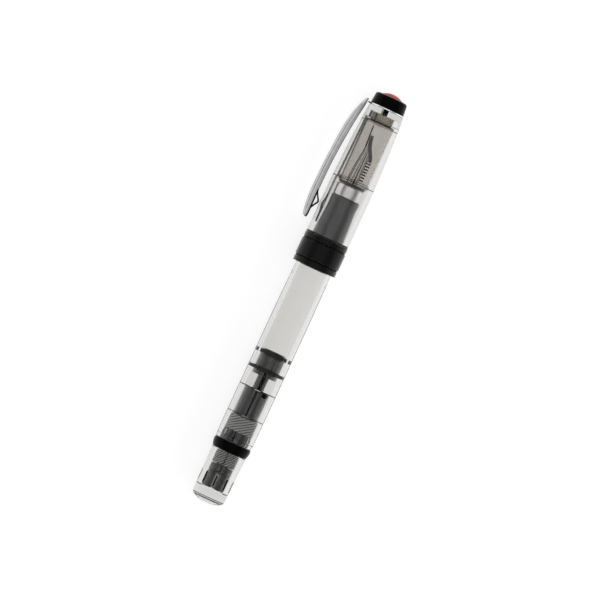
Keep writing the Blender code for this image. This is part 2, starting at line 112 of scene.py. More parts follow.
def smooth(points, x):
    """A smooth curve through (x, y) points."""
    for k in range(len(points) - 1):
        if x <= points[k + 1][0] or k == len(points) - 2:
            break
    (x1, y1), (x2, y2) = points[k], points[k + 1]
    x0, y0 = points[max(k - 1, 0)]
    x3, y3 = points[min(k + 2, len(points) - 1)]
    width = x2 - x1
    slope1 = (y2 - y0) / (x2 - x0) * width
    slope2 = (y3 - y1) / (x3 - x1) * width
    t = (x - x1) / width
    near = (2 * t**3 - 3 * t**2 + 1) * y1 + (t**3 - 2 * t**2 + t) * slope1
    return near + (3 * t**2 - 2 * t**3) * y2 + (t**3 - t**2) * slope2


def rounded(points, fillet, steps, closed):
    """Rounds the corners of an outline of (station, radius) points.

    A point may carry its own fillet as a third value. Corners on the axis stay sharp.
    """
    count = len(points)
    result = []
    for k, point in enumerate(points):
        here = Vector(point[:2])
        size = point[2] if len(point) > 2 else fillet
        if not closed and k in (0, count - 1) or here.y < ON_AXIS:
            result.append((here.x, here.y))
            continue
        before = Vector(points[k - 1][:2]) - here
        after = Vector(points[(k + 1) % count][:2]) - here
        turn = math.pi - before.angle(after)
        if size <= 0 or turn < STRAIGHT:
            result.append((here.x, here.y))
            continue
        reach = min(size * math.tan(turn / 2), EDGE_SHARE * before.length, EDGE_SHARE * after.length)
        size = reach / math.tan(turn / 2)
        start = here + before.normalized() * reach
        stop = here + after.normalized() * reach
        inward = (before.normalized() + after.normalized()).normalized()
        centre = here + inward * math.hypot(reach, size)
        a, b = start - centre, stop - centre
        hold = HOLD * reach
        result.append(tuple(start + before.normalized() * hold))
        for j in range(steps + 1):
            share = j / steps
            way = (a * math.sin((1 - share) * turn) + b * math.sin(share * turn)) / math.sin(turn)
            result.append(tuple(centre + way))
        result.append(tuple(stop + after.normalized() * hold))
    return result


def put(name, data):
    """Adds an object to the scene."""
    made = bpy.data.objects.new(name, data)
    bpy.context.scene.collection.objects.link(made)
    return made


def mesh_piece(name, shape, sharp=35.0):
    """Makes an object of a bmesh that is in millimetres, in the pen's coordinates."""
    bmesh.ops.remove_doubles(shape, verts=shape.verts, dist=2e-4)
    bmesh.ops.dissolve_degenerate(shape, dist=1e-5, edges=shape.edges)
    bmesh.ops.recalc_face_normals(shape, faces=shape.faces)
    bmesh.ops.transform(shape, matrix=pen @ Matrix.Scale(MM, 4), verts=shape.verts)
    mesh = bpy.data.meshes.new(name)
    shape.to_mesh(mesh)
    shape.free()
    mesh.shade_smooth()
    mesh.set_sharp_from_angle(angle=math.radians(sharp))
    return put(name, mesh)


def revolve(shape, outline, sides, reach, closed):
    """Turns an outline about the pen's axis; reach(station, radius, angle) may bend it."""
    rings = []
    for s, r in outline:
        if r < ON_AXIS:
            rings.append([shape.verts.new((0, 0, s))])
            continue
        ring = []
        for k in range(sides):
            angle = TAU * k / sides
            out = reach(s, r, angle) if reach else r
            ring.append(shape.verts.new(polar(out, angle, s)))
        rings.append(ring)
    if closed:
        rings.append(rings[0])
    for low, high in zip(rings, rings[1:]):
        if len(low) == 1 and len(high) == 1:
            continue
        for k in range(sides):
            after = (k + 1) % sides
            if len(low) == 1:
                shape.faces.new((low[0], high[after], high[k]))
            elif len(high) == 1:
                shape.faces.new((low[k], low[after], high[0]))
            else:
                shape.faces.new((low[k], low[after], high[after], high[k]))


def turned(name, outline, fillet, sides=ROUND, reach=None, steps=4, sharp=35.0):
    """A round piece from its outline, which is closed unless it starts and ends on the axis."""
    on_axis = outline[0][1] < ON_AXIS and outline[-1][1] < ON_AXIS
    shape = bmesh.new()
    revolve(shape, rounded(outline, fillet, steps, not on_axis), sides, reach, not on_axis)
    return mesh_piece(name, shape, sharp)


def lofted(name, rings, sharp=35.0):
    """A closed skin over rings that have the same number of (x, y, z) points."""
    shape = bmesh.new()
    made = [[shape.verts.new(point) for point in ring] for ring in rings]
    for low, high in zip(made, made[1:]):
        for k in range(len(low)):
            after = (k + 1) % len(low)
            shape.faces.new((low[k], low[after], high[after], high[k]))
    shape.faces.new(made[0][::-1])
    shape.faces.new(made[-1])
    return mesh_piece(name, shape, sharp)


def mirrored(ring):
    """A ring from its half with positive Y, whose mirror image closes it."""
    return ring + [(x, -y, z) for x, y, z in reversed(ring)]


def thread(root, crest, pitch, start, stop):
    """A reach function that cuts a helical ridge between two stations."""
    ridge_width, runout_turns = 0.36, 0.6

    def reach(s, r, angle):
        if not start <= s <= stop or abs(r - root) > SAME:
            return r
        phase = (s / pitch - angle / TAU) % 1.0
        ridge = max(0.0, 1.0 - abs(phase - 0.5) / ridge_width)
        runout = min(1.0, (s - start) / (runout_turns * pitch), (stop - s) / (runout_turns * pitch))
        return root + (crest - root) * min(1.0, 1.5 * ridge) * max(0.0, runout)
    return reach


def fine_run(start, stop, r, step):
    """Closely spaced outline points for a threaded stretch."""
    count = max(2, round((stop - start) / step))
    return [(s, r, 0) for s in spread(start, stop, count)]


# --- Materials ---

PLASTIC_IOR = 1.5
GRAIN = 0.001 * MM  # height of a fine surface grain
RIPPLE = 0.01 * MM  # height of moulding waves and of rubber's pebbles


def base_material(name, colour, roughness, metallic=0.0):
    made = bpy.data.materials.new(name)
    made.use_nodes = True
    shader = made.node_tree.nodes["Principled BSDF"]
    shader.inputs["Base Color"].default_value = (*colour, 1.0)
    shader.inputs["Roughness"].default_value = roughness
    shader.inputs["Metallic"].default_value = metallic
    return made, shader


def add(made, kind, **values):
    node = made.node_tree.nodes.new(kind)
    for key, value in values.items():
        setattr(node, key, value)
    return node


def wire(made, source, target):
    made.node_tree.links.new(source, target)


def coordinates(made, stretch=(1.0, 1.0, 1.0)):
    """Coordinates of a piece, in mm along the pen's own axes, then stretched."""
    place = add(made, "ShaderNodeTexCoord")
    turn = add(made, "ShaderNodeMapping")
    turn.inputs["Location"].default_value = to_pen.translation / MM
    turn.inputs["Rotation"].default_value = to_pen.to_euler()
    turn.inputs["Scale"].default_value = (1.0 / MM, 1.0 / MM, 1.0 / MM)
    scale = add(made, "ShaderNodeMapping")
    scale.inputs["Scale"].default_value = stretch
    wire(made, place.outputs["Object"], turn.inputs["Vector"])
    wire(made, turn.outputs["Vector"], scale.inputs["Vector"])
    return scale.outputs["Vector"]


def noise(made, vector, scale, detail=3.0, rough=0.5):
    node = add(made, "ShaderNodeTexNoise")
    node.inputs["Scale"].default_value = scale
    node.inputs["Detail"].default_value = detail
    node.inputs["Roughness"].default_value = rough
    wire(made, vector, node.inputs["Vector"])
    return node.outputs["Fac"]


def ranged(made, value, low, high, from_low=0.3, from_high=0.7):
    node = add(made, "ShaderNodeMapRange")
    node.inputs["From Min"].default_value = from_low
    node.inputs["From Max"].default_value = from_high
    node.inputs["To Min"].default_value = low
    node.inputs["To Max"].default_value = high
    wire(made, value, node.inputs["Value"])
    return node.outputs["Result"]


def bump(made, shader, height, distance, strength):
    node = add(made, "ShaderNodeBump")
    node.inputs["Strength"].default_value = strength
    node.inputs["Distance"].default_value = distance
    wire(made, height, node.inputs["Height"])
    wire(made, node.outputs["Normal"], shader.inputs["Normal"])


def blended(made, shader, factor, colour, other):
    """Lets the base colour go from one tone to the other with a factor."""
    blend = add(made, "ShaderNodeMix", data_type="RGBA")
    blend.inputs["A"].default_value = (*colour, 1.0)
    blend.inputs["B"].default_value = (*other, 1.0)
    wire(made, factor, blend.inputs["Factor"])
    wire(made, blend.outputs["Result"], shader.inputs["Base Color"])


def mottled(made, shader, vector, colour, other, scale):
    """Lets the base colour wander softly between two near tones."""
    blended(made, shader, ranged(made, noise(made, vector, scale), 0.0, 1.0), colour, other)


def dye_and_painted_shade_in_mass(made, tone, density):
    """Absorbs light along its way through the plastic, so that thick places look darker."""
    dye = add(made, "ShaderNodeVolumeAbsorption")
    dye.inputs["Color"].default_value = (*tone, 1.0)
    dye.inputs["Density"].default_value = density
    wire(made, dye.outputs["Volume"], made.node_tree.nodes["Material Output"].inputs["Volume"])


def clear_plastic(name, tint_and_shade, roughness, tone, density, specular):
    """Polished clear plastic: faint moulding waviness and hairline scratches."""
    made, shader = base_material(name, tint_and_shade, roughness)
    shader.inputs["Transmission Weight"].default_value = 1.0
    shader.inputs["IOR"].default_value = PLASTIC_IOR
    shader.inputs["Specular Tint"].default_value = (specular, specular, specular, 1.0)
    vector = coordinates(made)
    scratches = noise(made, coordinates(made, (1.0, 1.0, 0.06)), 3.2, 6.0, 0.7)
    hazy = ranged(made, scratches, roughness * 0.5, roughness * 2.2, 0.5, 0.75)
    wire(made, hazy, shader.inputs["Roughness"])
    bump(made, shader, noise(made, vector, 0.12, 1.0), RIPPLE, 0.5)
    dye_and_painted_shade_in_mass(made, tone, density)
    return made


def gloss_plastic(name, colour, other, roughness, specular=0.5, sheen=0.0):
    """Moulded opaque plastic: soft tone changes, fine surface grain and handling marks."""
    made, shader = base_material(name, colour, roughness)
    shader.inputs["IOR"].default_value = PLASTIC_IOR
    shader.inputs["Specular IOR Level"].default_value = specular
    shader.inputs["Sheen Weight"].default_value = sheen
    shader.inputs["Sheen Roughness"].default_value = 0.35
    vector = coordinates(made)
    mottled(made, shader, vector, colour, other, 0.35)
    marks = noise(made, coordinates(made, (1.0, 1.0, 0.15)), 2.4, 8.0, 0.65)
    handled = ranged(made, marks, roughness * 0.75, roughness * 1.6, 0.42, 0.7)
    wire(made, handled, shader.inputs["Roughness"])
    bump(made, shader, noise(made, vector, 3.0, 2.0), GRAIN, 0.5)
    return made


def ridge_painted_shading(name, valley, crest, low, high, roughness):
    """Plastic painted dark in a thread's valleys, at radius low, and light on its crests: painted shade
    and painted highlight.
    """
    made, shader = base_material(name, valley, roughness)
    shader.inputs["Sheen Weight"].default_value = 0.9
    shader.inputs["Sheen Roughness"].default_value = 0.5
    from_axis = add(made, "ShaderNodeVectorMath", operation="LENGTH")
    wire(made, coordinates(made, (1.0, 1.0, 0.0)), from_axis.inputs[0])
    height = ranged(made, from_axis.outputs["Value"], 0.0, 1.0, low, high)
    blended(made, shader, height, valley, crest)
    bump(made, shader, noise(made, coordinates(made), 3.0, 2.0), GRAIN, 0.5)
    return made


def polished_metal(name, colour, other, roughness):
    """Polished or plated metal with faint polishing lines along the pen."""
    made, shader = base_material(name, colour, roughness, 1.0)
    mottled(made, shader, coordinates(made), colour, other, 0.5)
    lines = noise(made, coordinates(made, (1.0, 1.0, 0.08)), 5.0, 5.0, 0.6)
    wire(made, ranged(made, lines, roughness * 0.6, roughness * 1.7), shader.inputs["Roughness"])
    bump(made, shader, lines, GRAIN, 0.3)
    return made


def soft_rubber(name, colour, other, roughness):
    """Matt rubber with a fine pebbled surface."""
    made, shader = base_material(name, colour, roughness)
    vector = coordinates(made)
    mottled(made, shader, vector, colour, other, 0.8)
    pebbles = noise(made, vector, 14.0, 2.0)
    wire(made, ranged(made, pebbles, roughness * 0.85, roughness * 1.15), shader.inputs["Roughness"])
    bump(made, shader, pebbles, RIPPLE, 0.6)
    return made


# The clear plastic's grey tint and absorption are painted shade: the darker tabletop seen through it.
CLEAR = clear_plastic("clear_acrylic_with_painted_shade", (0.828, 0.824, 0.814), 0.012, (0.42, 0.42, 0.42), 36.0, 0.15)
SMOKE_CLEAR = clear_plastic(
    "smoky_liner_plastic", (0.99, 0.985, 0.98), 0.03, (0.45, 0.40, 0.33), 660.0, 0.25)
BLACK = gloss_plastic(
    "black_gloss_plastic", (0.0015, 0.0015, 0.0016), (0.003, 0.003, 0.0032), 0.25, 0.12, 0.7)
DEEP_GLOSS = gloss_plastic(
    "deep_gloss_plastic", (0.0004, 0.0004, 0.0004), (0.001, 0.001, 0.001), 0.25, 0.025, 0.5)
# Pitch-black plastic, for black parts and for painted shade in grooves, slots and gaps.
BLACK_AND_PAINTED_SHADE = gloss_plastic(
    "deep_black_and_painted_shade_plastic", (0.0003, 0.0003, 0.0003), (0.001, 0.001, 0.001), 0.5, 0.02)
# Dark smoke plastic, also used for rings of painted shade inside the knob's dome.
SMOKE = gloss_plastic(
    "dark_smoke_and_painted_shade_plastic", (0.057, 0.057, 0.061), (0.076, 0.076, 0.081), 0.12, 0.9, 0.7)
ROD_SMOKE = gloss_plastic("smoky_rod_plastic", (0.18, 0.18, 0.184), (0.25, 0.25, 0.256), 0.1, 1.0)
GRIP = gloss_plastic(
    "dark_grip_plastic", (0.140, 0.140, 0.144), (0.160, 0.160, 0.165), 0.16, 0.8, 1.0)
# Lit grey copy of the feed's plastic: painted light.
FEED_LIT_GREY = gloss_plastic("feed_lit_grey_plastic", (0.46, 0.475, 0.52), (0.54, 0.55, 0.60), 0.3, 0.5)
# Light grey plastic for painted light seen through the spindle's slots.
SLOT_PAINTED_LIGHT = gloss_plastic("slot_painted_light_plastic", (0.72, 0.72, 0.72), (0.80, 0.80, 0.80), 0.3, 0.3)
# Light grey plastic for painted highlights.
PAINTED_HIGHLIGHT = gloss_plastic("painted_highlight_plastic", (0.72, 0.72, 0.71), (0.8, 0.8, 0.79), 0.15)
RED = gloss_plastic("red_enamel", (0.52, 0.035, 0.010), (0.60, 0.055, 0.018), 0.25, 0.08)
# Thread sleeves with painted shade in their valleys and painted highlight on their crests.
KNOB_THREAD_PAINTED_SHADE = ridge_painted_shading(
    "knob_thread_painted_shade", (0.21, 0.21, 0.213), (0.82, 0.82, 0.82), 3.66, 3.79, 0.2)
BARREL_THREAD_PAINTED_SHADE = ridge_painted_shading(
    "barrel_thread_painted_shade", (0.27, 0.27, 0.274), (0.86, 0.86, 0.86), 4.68, 4.8, 0.2)
CHROME = polished_metal("bright_chrome", (0.93, 0.93, 0.935), (0.97, 0.97, 0.975), 0.2)
STEEL = polished_metal("nib_steel", (0.84, 0.835, 0.82), (0.92, 0.915, 0.90), 0.16)
CLIP_STEEL = polished_metal("polished_clip_steel", (0.50, 0.50, 0.505), (0.58, 0.58, 0.585), 0.12)
# Darker steel for painted shade along the clip's underside.
UNDERSIDE_SHADE_STEEL = polished_metal("clip_underside_shade_steel", (0.20, 0.20, 0.202), (0.27, 0.27, 0.273), 0.2)
# Dark steel used only for painted shade on the clip, nib and lug.
PAINTED_SHADE_STEEL = polished_metal("painted_shade_steel", (0.035, 0.035, 0.037), (0.06, 0.06, 0.062), 0.3)
SHADED_STEEL = polished_metal("shaded_steel", (0.006, 0.006, 0.0062), (0.012, 0.012, 0.0124), 0.3)
RUBBER = soft_rubber("black_rubber", (0.006, 0.006, 0.006), (0.012, 0.012, 0.012), 0.5)


def dress(piece, made, body, slot, *nodes):
    """Gives a piece its material and body, and lets it stand for CAD nodes. The slot is not used."""
    piece.data.materials.clear()
    piece.data.materials.append(made)
    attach(piece, body)
    if nodes:
        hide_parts(*nodes)


# --- Rear end ---

SLOTS = 7
SLOT_TURN = math.radians(87.6)
SLOT_TOP = 9.45  # station where the slots' round tops begin
SLOT_HALF = 0.32  # half the width of a slot
SOCKET = 3.86  # radius of the knob's socket where the ribs stand
SCREW_LEAD = 25.0 / 4.5  # mm that the piston moves for a turn of the knob
FACE = math.pi / 2  # the angle about the axis that the main view sees square on


def slot_matrix(k):
    """Turns a point from the X axis to the middle of a slot."""
    return Matrix.Rotation(SLOT_TURN + TAU * k / SLOTS, 3, "Z")


def slot_offset(angle, r):
    """How far round a point lies from the middle of the nearest slot."""
    step = TAU / SLOTS
    return abs((angle - SLOT_TURN + step / 2) % step - step / 2) * r


def clear_knob():
    """Domed knob with a deep socket and ribs that reach into the spindle's slots."""
    front = stations("knob")[1]
    outline = [(0.0, 0.0), (0.10, 1.4), (0.38, 2.8), (0.85, 4.0), (1.25, 4.75), (1.45, 4.5, 0.02),
               (1.72, 5.2, 0.02), (2.0, 5.36, 0.35), (4.0, 5.49), (12.0, 5.6), (front - 0.15, 5.76),
               (front, 5.62, 0.05), (front, 3.98, 0.05), (front - 0.5, 3.92), (9.75, 3.87, 0),
               (9.5, 3.87, 0)]
    outline += [(z, SOCKET, 0) for z in spread(9.45, 5.65, 6)]
    outline += [(5.55, SOCKET, 0), (5.4, 3.85, 0), (4.95, 3.84, 0.25), (4.6, 3.3, 0.3), (4.45, 1.6),
                (4.75, 0.0)]

    def ribbed(s, r, angle):
        at_ribs = abs(r - SOCKET) < SAME and 5.6 < s < 9.48
        return 2.95 if at_ribs and slot_offset(angle, r) < 0.26 else r

    piece = turned("clear_knob", outline, 0.1, 252, ribbed, 5, 30.0)
    # Two smoky rings inside the dome: painted shade for the dark lines that the dome's curves show.
    for name, line in (
            ("knob_dome_shade_ring", [(1.5, 4.2), (1.38, 4.9), (1.62, 5.02), (1.78, 4.2)]),
            ("knob_dome_shade_ring_inner", [(1.98, 4.85), (1.98, 5.12), (2.14, 5.12), (2.14, 4.85)])):
        dress(turned(name, line, 0.03), SMOKE, "knob", "smoke_plastic")
    # A black strip over each slot in the knob's wall: painted shade for the dark seen through the slot.
    for k in range(SLOTS):
        turn = slot_matrix(k)
        rings = []
        for z in (5.85, 9.4):
            corners = [(3.8, -0.16, z), (4.12, -0.16, z), (4.12, 0.16, z), (3.8, 0.16, z)]
            rings.append([tuple(turn @ Vector(corner)) for corner in corners])
        dress(lofted("knob_rib_shade_" + str(k), rings), BLACK_AND_PAINTED_SHADE, "knob", "smoke_plastic")
    dress(piece, CLEAR, "knob", "clear_plastic", "knob")


def slot_cutter():
    """Round-topped boxes for cutting the spindle's slots."""
    shape = bmesh.new()
    for k in range(SLOTS):
        points = [(-SLOT_HALF, 3.0), (SLOT_HALF, 3.0)]
        points += [(SLOT_HALF * math.cos(a), SLOT_TOP + SLOT_HALF * math.sin(a))
                   for a in spread(0, math.pi, 12)]
        turn = slot_matrix(k)
        near = [shape.verts.new(turn @ Vector((2.0, y, z))) for y, z in points]
        far = [shape.verts.new(turn @ Vector((4.6, y, z))) for y, z in points]
        shape.faces.new(near)
        shape.faces.new(far[::-1])
        for j in range(len(points)):
            after = (j + 1) % len(points)
            shape.faces.new((near[j], far[j], far[after], near[after]))
    return mesh_piece("slot_cutter", shape)


def slot_highlight(k):
    """Thin light arch round one slot: a painted highlight where the clear rib's edge catches the light."""
    half, wide = 0.3, 0.22
    path = [(-half, 5.75), (-half, 7.5)]
    path += [(half * math.cos(a), SLOT_TOP + half * math.sin(a)) for a in spread(math.pi, 0.0, 14)]
    path += [(half, 7.5), (half, 5.75)]
    turn = slot_matrix(k)
    rings = []
    for j, (y, z) in enumerate(path):
        before, after = path[max(0, j - 1)], path[min(len(path) - 1, j + 1)]
        along = Vector((after[0] - before[0], after[1] - before[1])).normalized()
        out = Vector((-along.y, along.x)) * wide
        corners = [(3.02, y, z), (3.72, y, z), (3.72, y + out.x, z + out.y),
                   (3.02, y + out.x, z + out.y)]
        rings.append([tuple(turn @ Vector(corner)) for corner in corners])
    return lofted("spindle_slot_highlight_" + str(k), rings)


def spindle():
    """Skirt of seven rounded teeth, and the three-start screw inside the rod."""
    rear, front = 4.98, 12.8
    tooth, tooth_root = 0.55, 1.2
    outline = [(rear, 2.35), (rear, 3.45, 0.15), (rear + 0.35, 3.7, 0.2), (10.2, 3.7, 0.02),
               (10.3, 3.58, 0.02), (10.5, 3.58, 0.02), (10.6, 3.7, 0.02), (front, 3.7, 0.15),
               (front, 2.35, 0.1)]
    skirt = turned("spindle_skirt", outline, 0.08)
    for corner in skirt.data.vertices:
        here = to_pen @ corner.co / MM
        if here.z < rear + tooth_root:
            middle = 1.0 - min(1.0, slot_offset(math.atan2(here.y, here.x), 3.7) / 1.66)
            here.z += tooth * middle**2 * (1.0 - (here.z - rear) / tooth_root)
            corner.co = pen @ (here * MM)
    cut_away(skirt, slot_cutter())
    # A light grey core inside the skirt's wall: painted light that shows through the slots.
    core = [(5.55, 0.0), (5.55, 3.0, 0.2), (12.5, 3.0), (12.5, 0.0)]
    base = turned("spindle_painted_light_core", core, 0.1)
    # Light arches round the slots: painted highlights.
    for k in range(SLOTS):
        dress(slot_highlight(k), PAINTED_HIGHLIGHT, "spindle", "smoke_plastic")
    wall_strip("spindle_seam", 10.75, front - 0.1, 3.76, 0.02, 0.15, BLACK_AND_PAINTED_SHADE, "spindle")
    starts, sides = 3, 36
    rings = []
    for z in spread(7.2, COLLAR_FRONT - 0.1, 150):
        twist = TAU * z / SCREW_LEAD
        ring = []
        for k in range(sides):
            angle = TAU * k / sides
            out = 1.12 + 0.16 * max(-0.6, math.cos(starts * angle))
            ring.append(polar(out, angle + twist, z))
        rings.append(ring)
    screw = lofted("spindle_screw", rings)
    dress(skirt, SMOKE, "spindle", "smoke_plastic", "spindle")
    dress(base, SLOT_PAINTED_LIGHT, "spindle", "smoke_plastic")
    dress(screw, BLACK_AND_PAINTED_SHADE, "spindle", "smoke_plastic")


def cut_away(piece, cutter):
    """Cuts the cutter's shape out of a piece and removes the cutter."""
    step = piece.modifiers.new("carve", "BOOLEAN")
    step.operation = "DIFFERENCE"
    step.object = cutter
    step.solver = "EXACT"
    bpy.context.view_layer.update()
    graph = bpy.context.evaluated_depsgraph_get()
    result = bpy.data.meshes.new_from_object(piece.evaluated_get(graph))
    piece.modifiers.clear()
    old = piece.data
    result.name = old.name
    piece.data = result
    bpy.data.meshes.remove(old)
    bpy.data.objects.remove(cutter)
    piece.data.shade_smooth()
    piece.data.set_sharp_from_angle(angle=math.radians(35))


def end_ring():
    """Barrel-shaped black ring."""
    low, high = stations("end_ring")
    outline = [(low, 5.25, 0.05), (low, 5.62, 0.12), (low + 0.6, 5.88), (low + 1.4, 6.1),
               (low + 2.2, 6.21), (low + 2.6, 6.22), (high - 0.35, 6.12), (high, 5.98, 0.12),
               (high, 4.45), (18.1, 4.45), (18.1, 5.2)]
    dress(turned("end_ring", outline, 0.08), DEEP_GLOSS, "pen_body", "black_gloss", "end_ring")


def near_angle(angle, middle, r):
    """How far round a point lies from one angle, in mm."""
    return abs((angle - middle + math.pi) % TAU - math.pi) * r


def black_strip(name, low, high, r, across, half, body):
    """Black strip that faces the main view; laid at the bottom of a groove, it is painted shade."""
    near, far = across - half, across + half
    rings = [[(near, r - 0.3, z), (near, r, z), (far, r, z), (far, r - 0.3, z)] for z in (low, high)]
    dress(lofted(name, rings), BLACK_AND_PAINTED_SHADE, body, "smoke_plastic")


def wall_strip(name, low, high, r, across, half, made, body):
    """Strip let into a round wall, at a distance from the middle of the main view; a light one is a
    painted highlight.
    """
    middle = math.acos(across / r)
    spans = spread(middle - half / r, middle + half / r, 5)
    rings = []
    for z in (low, low + 0.12, high - 0.12, high):
        out = r - 0.06 * (z in (low, high))
        rings.append([polar(out, a, z) for a in spans] + [polar(r - 0.3, a, z) for a in reversed(spans)])
    dress(lofted(name, rings), made, body, "smoke_plastic")


def threaded_sleeve(name, low, high, inside, root, starts, rise, made):
    """Sleeve of fine diagonal ridges, as overlapping threads look through clear plastic."""
    middle, height, step = root + 0.05, 0.26, 0.07
    sleeve = [(low, inside, 0.02), (low, root, 0.05)]
    sleeve += fine_run(low + 0.12, high - 0.12, middle, step)
    sleeve += [(high, root, 0.05), (high, inside, 0.02)]

    def ridged(s, r, angle):
        if abs(r - middle) > SAME:
            return r
        return root + height * (0.5 + 0.5 * math.cos(TAU * s / rise - starts * angle))

    dress(turned(name, sleeve, 0.03, 288, ridged), made, "pen_body", "smoke_plastic")


def guide_collar():
    """Collar with the knob's thread, the barrel's thread and the slotted guide tube."""
    wall, tube, key_depth = 4.75, 3.8, 2.75
    outline = [(COLLAR_REAR, 3.3), (17.45, 3.3, 0), (17.5, 4.35), (20.95, 4.35), (20.95, wall)]
    outline += [(s, wall, 0) for s in (21.2, 21.25, 24.0, 24.05)]
    outline += [(24.4, wall), (24.5, 4.4), (29.3, 4.4), (29.4, 3.95, 0.2), (29.6, tube)]
    outline += [(s, tube, 0) for s in spread(29.7, COLLAR_FRONT - 0.2, 60)]
    outline += [(COLLAR_FRONT, 3.72), (COLLAR_FRONT, 2.12), (COLLAR_REAR, 2.4)]

    def reach(s, r, angle):
        if abs(r - wall) < SAME and 21.22 < s < 24.03:
            return r - 0.22 * (math.cos(14 * angle) > 0.3)
        if abs(r - tube) < SAME:
            keyway = min(near_angle(angle, FACE, r), near_angle(angle, -FACE, r)) < 0.26
            notch = (s - COLLAR_FRONT + 0.9) ** 2 + (r * math.cos(angle) + 2.7) ** 2 < 0.7
            return key_depth if keyway or (notch and angle > 0) else r
        return r

    threaded_sleeve("guide_collar_knob_thread", COLLAR_REAR + 0.1, 17.4, 3.2, 3.55, 26, 1.0, KNOB_THREAD_PAINTED_SHADE)
    threaded_sleeve("guide_collar_barrel_thread", 24.42, 29.38, 4.3, 4.58, 20, 0.94, BARREL_THREAD_PAINTED_SHADE)
    piece = turned("guide_collar", outline, 0.1, 288, reach)
    dress(piece, SMOKE, "pen_body", "smoke_plastic", "guide_collar")
    front = COLLAR_FRONT - 0.15
    # Black strips in the tube's keyway and notch: painted shade.
    black_strip("guide_tube_keyway_shade", 29.7, front, 3.5, 0.0, 0.24, "pen_body")
    black_strip("guide_tube_notch_shade", COLLAR_FRONT - 1.6, front, 2.15, -2.6, 0.6, "pen_body")
    # On the collar the two light strips are painted highlights and the black strip near its edge is
    # painted shade.
    for name, rear, front, r, across, half, made in (
            ("key", 21.05, 24.25, 4.78, 0.5, 0.26, BLACK_AND_PAINTED_SHADE),
            ("highlight_near", 22.2, 24.3, 4.78, 3.42, 0.26, PAINTED_HIGHLIGHT),
            ("highlight_far", 21.05, 24.3, 4.78, -3.6, 0.22, PAINTED_HIGHLIGHT),
            ("groove_shade_near", 22.2, 24.3, 4.78, 4.15, 0.2, BLACK_AND_PAINTED_SHADE),
            ("seam", COLLAR_REAR + 0.15, 17.35, 3.86, 0.04, 0.09, BLACK_AND_PAINTED_SHADE)):
        wall_strip("guide_collar_" + name, rear, front, r, across, half, made, "pen_body")


# --- Piston ---

def piston():
    """Ribbed rod with a keyway, spool-shaped head and two seals that wipe the wall."""
    start, front = stations("piston_head")
    keyed_to = start - 0.05
    key_turn, key_half, key_depth = 0.1, 0.5, 1.55
    rib_pitch, rib_depth = 0.7, 0.12

    def keyed(s, r, angle):
        if r < 1.9 or s > keyed_to:
            return r
        off = min(near_angle(angle, FACE + key_turn, r), near_angle(angle, -FACE + key_turn, r))
        if off < key_half:
            return key_depth
        return r - rib_depth * ((s / rib_pitch + angle / TAU) % 1.0 > 0.6)

    rod = [(10.2, 1.42), (10.2, 2.0)] + [(s, 2.0, 0) for s in spread(10.4, start, 260)]
    rod += [(start + 3.3, 2.0), (start + 3.3, 1.42)]
    dress(turned("piston_rod", rod, 0.06, 96, keyed), ROD_SMOKE, "piston", "smoke_plastic", "piston_rod")
    # Black strip in the rod's keyway: painted shade.
    black_strip("piston_rod_keyway_shade", 10.5, keyed_to - 0.1, 1.68, -0.16, 0.44, "piston")
    head = [(front, 0.0), (front - 0.1, 3.4, 0.15), (start + 8.1, 3.7, 0.1), (start + 8.1, 3.0),
            (start + 6.7, 3.0), (start + 6.7, 3.78, 0.1), (start + 4.6, 3.7), (start + 2.6, 3.78, 0.1),
            (start + 2.6, 3.0), (start + 1.3, 3.0), (start + 1.3, 3.7, 0.1), (start, 3.7, 0.2),
            (start, 2.06), (start + 3.6, 2.06, 0.05), (start + 3.6, 0.0)]

    def ribs(s, r, angle):
        grooved = start + 3.0 < s < start + 6.2 and r > 3.6
        return r - 0.1 * grooved * (math.cos(20 * angle) > 0.6)

    dress(turned("piston_head", head, 0.08, 160, ribs), SMOKE, "piston", "smoke_plastic", "piston_head")
    # Black strip on the head's rear flange: painted shade that carries the keyway's dark line on.
    black_strip("piston_head_slot_shade", start + 0.03, start + 1.27, 3.73, -0.16, 0.4, "piston")
    wall = BORE + 0.02

    def flat_sided(s, r, angle):
        return r - 0.09 * (r > 4.7) * (0.40 < abs(math.sin(angle)) < 0.55) * (math.sin(angle) > 0)

    for name, node, reach in (("rear_piston_seal", "rear_seal", None),
                              ("front_piston_seal", "front_seal", flat_sided)):
        low, high = stations(node)
        seal = [(low, 3.06), (low, wall - 0.05, 0.05), (low + 0.08, wall, 0.03),
                (high - 0.08, wall, 0.03), (high, wall - 0.05, 0.05), (high, 3.06)]
        dress(turned(name, seal, 0.06, 180, reach), RUBBER, "piston", "black_rubber", node)


# --- Barrel ---

FACETS = 12
FACET_REAR, FACET_END = 22.3, 77.3
FACET_DEPTH = 0.06
NECK = 6.04  # radius of the plain neck under the cap's lip
THREAD_ROOT = 5.72
THREAD_REAR, THREAD_FRONT = 82.2, 87.4


